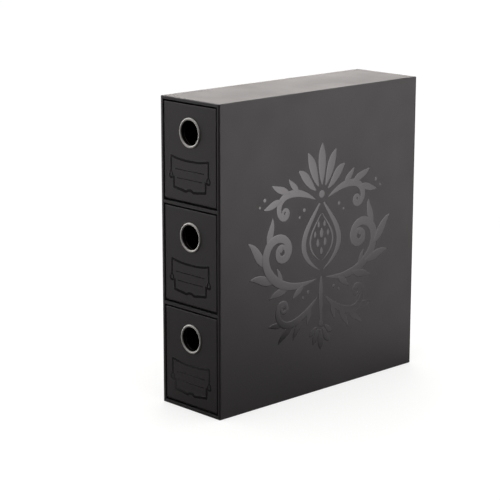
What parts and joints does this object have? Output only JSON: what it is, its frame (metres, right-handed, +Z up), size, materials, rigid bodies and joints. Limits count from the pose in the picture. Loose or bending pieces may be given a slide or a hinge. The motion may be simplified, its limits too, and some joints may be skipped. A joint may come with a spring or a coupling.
{
  "type": "trading card drawer box",
  "caption": "Tall slim black box of wrapped greyboard with stacked drawers for trading cards, each pulled out by a metal-bound finger hole.",
  "frame": {"origin": "centre of the base, on the surface that the box stands on", "axes": "+Z up, drawer fronts face -Y, +X to the right as seen from the drawer fronts"},
  "size_m": [0.09, 0.3016, 0.335],
  "materials": {
    "greyboard": "matte",
    "wrap_paper": "satin",
    "lining_paper": "matte",
    "eyelet_metal": "polished"
  },
  "bodies": {
    "case": {"left_side_board": "greyboard", "right_side_board": "greyboard", "top_board": "greyboard", "bottom_board": "greyboard", "back_board": "greyboard", "lower_shelf_board": "greyboard", "upper_shelf_board": "greyboard", "outer_wrap": "wrap_paper", "base_sheet": "wrap_paper", "back_sheet": "wrap_paper", "lower_bay_lining": "lining_paper", "middle_bay_lining": "lining_paper", "upper_bay_lining": "lining_paper", "lower_shelf_edging": "wrap_paper", "upper_shelf_edging": "wrap_paper"},
    "lower_drawer": {"lower_drawer_front_board": "greyboard", "lower_drawer_back_board": "greyboard", "lower_drawer_left_board": "greyboard", "lower_drawer_right_board": "greyboard", "lower_drawer_base_board": "greyboard", "lower_drawer_wrap": "wrap_paper", "lower_drawer_base_sheet": "wrap_paper", "lower_drawer_lining": "lining_paper", "lower_drawer_eyelet": "eyelet_metal", "lower_drawer_eyelet_washer": "eyelet_metal"},
    "middle_drawer": {"middle_drawer_front_board": "greyboard", "middle_drawer_back_board": "greyboard", "middle_drawer_left_board": "greyboard", "middle_drawer_right_board": "greyboard", "middle_drawer_base_board": "greyboard", "middle_drawer_wrap": "wrap_paper", "middle_drawer_base_sheet": "wrap_paper", "middle_drawer_lining": "lining_paper", "middle_drawer_eyelet": "eyelet_metal", "middle_drawer_eyelet_washer": "eyelet_metal"},
    "upper_drawer": {"upper_drawer_front_board": "greyboard", "upper_drawer_back_board": "greyboard", "upper_drawer_left_board": "greyboard", "upper_drawer_right_board": "greyboard", "upper_drawer_base_board": "greyboard", "upper_drawer_wrap": "wrap_paper", "upper_drawer_base_sheet": "wrap_paper", "upper_drawer_lining": "lining_paper", "upper_drawer_eyelet": "eyelet_metal", "upper_drawer_eyelet_washer": "eyelet_metal"}
  },
  "joints": [
    {"name": "lower_drawer_slide", "type": "slide", "parent": "case", "child": "lower_drawer", "axis": [0, -1, 0], "range_m": [0, 0.295]},
    {"name": "middle_drawer_slide", "type": "slide", "parent": "case", "child": "middle_drawer", "axis": [0, -1, 0], "range_m": [0, 0.295]},
    {"name": "upper_drawer_slide", "type": "slide", "parent": "case", "child": "upper_drawer", "axis": [0, -1, 0], "range_m": [0, 0.295]}
  ]
}
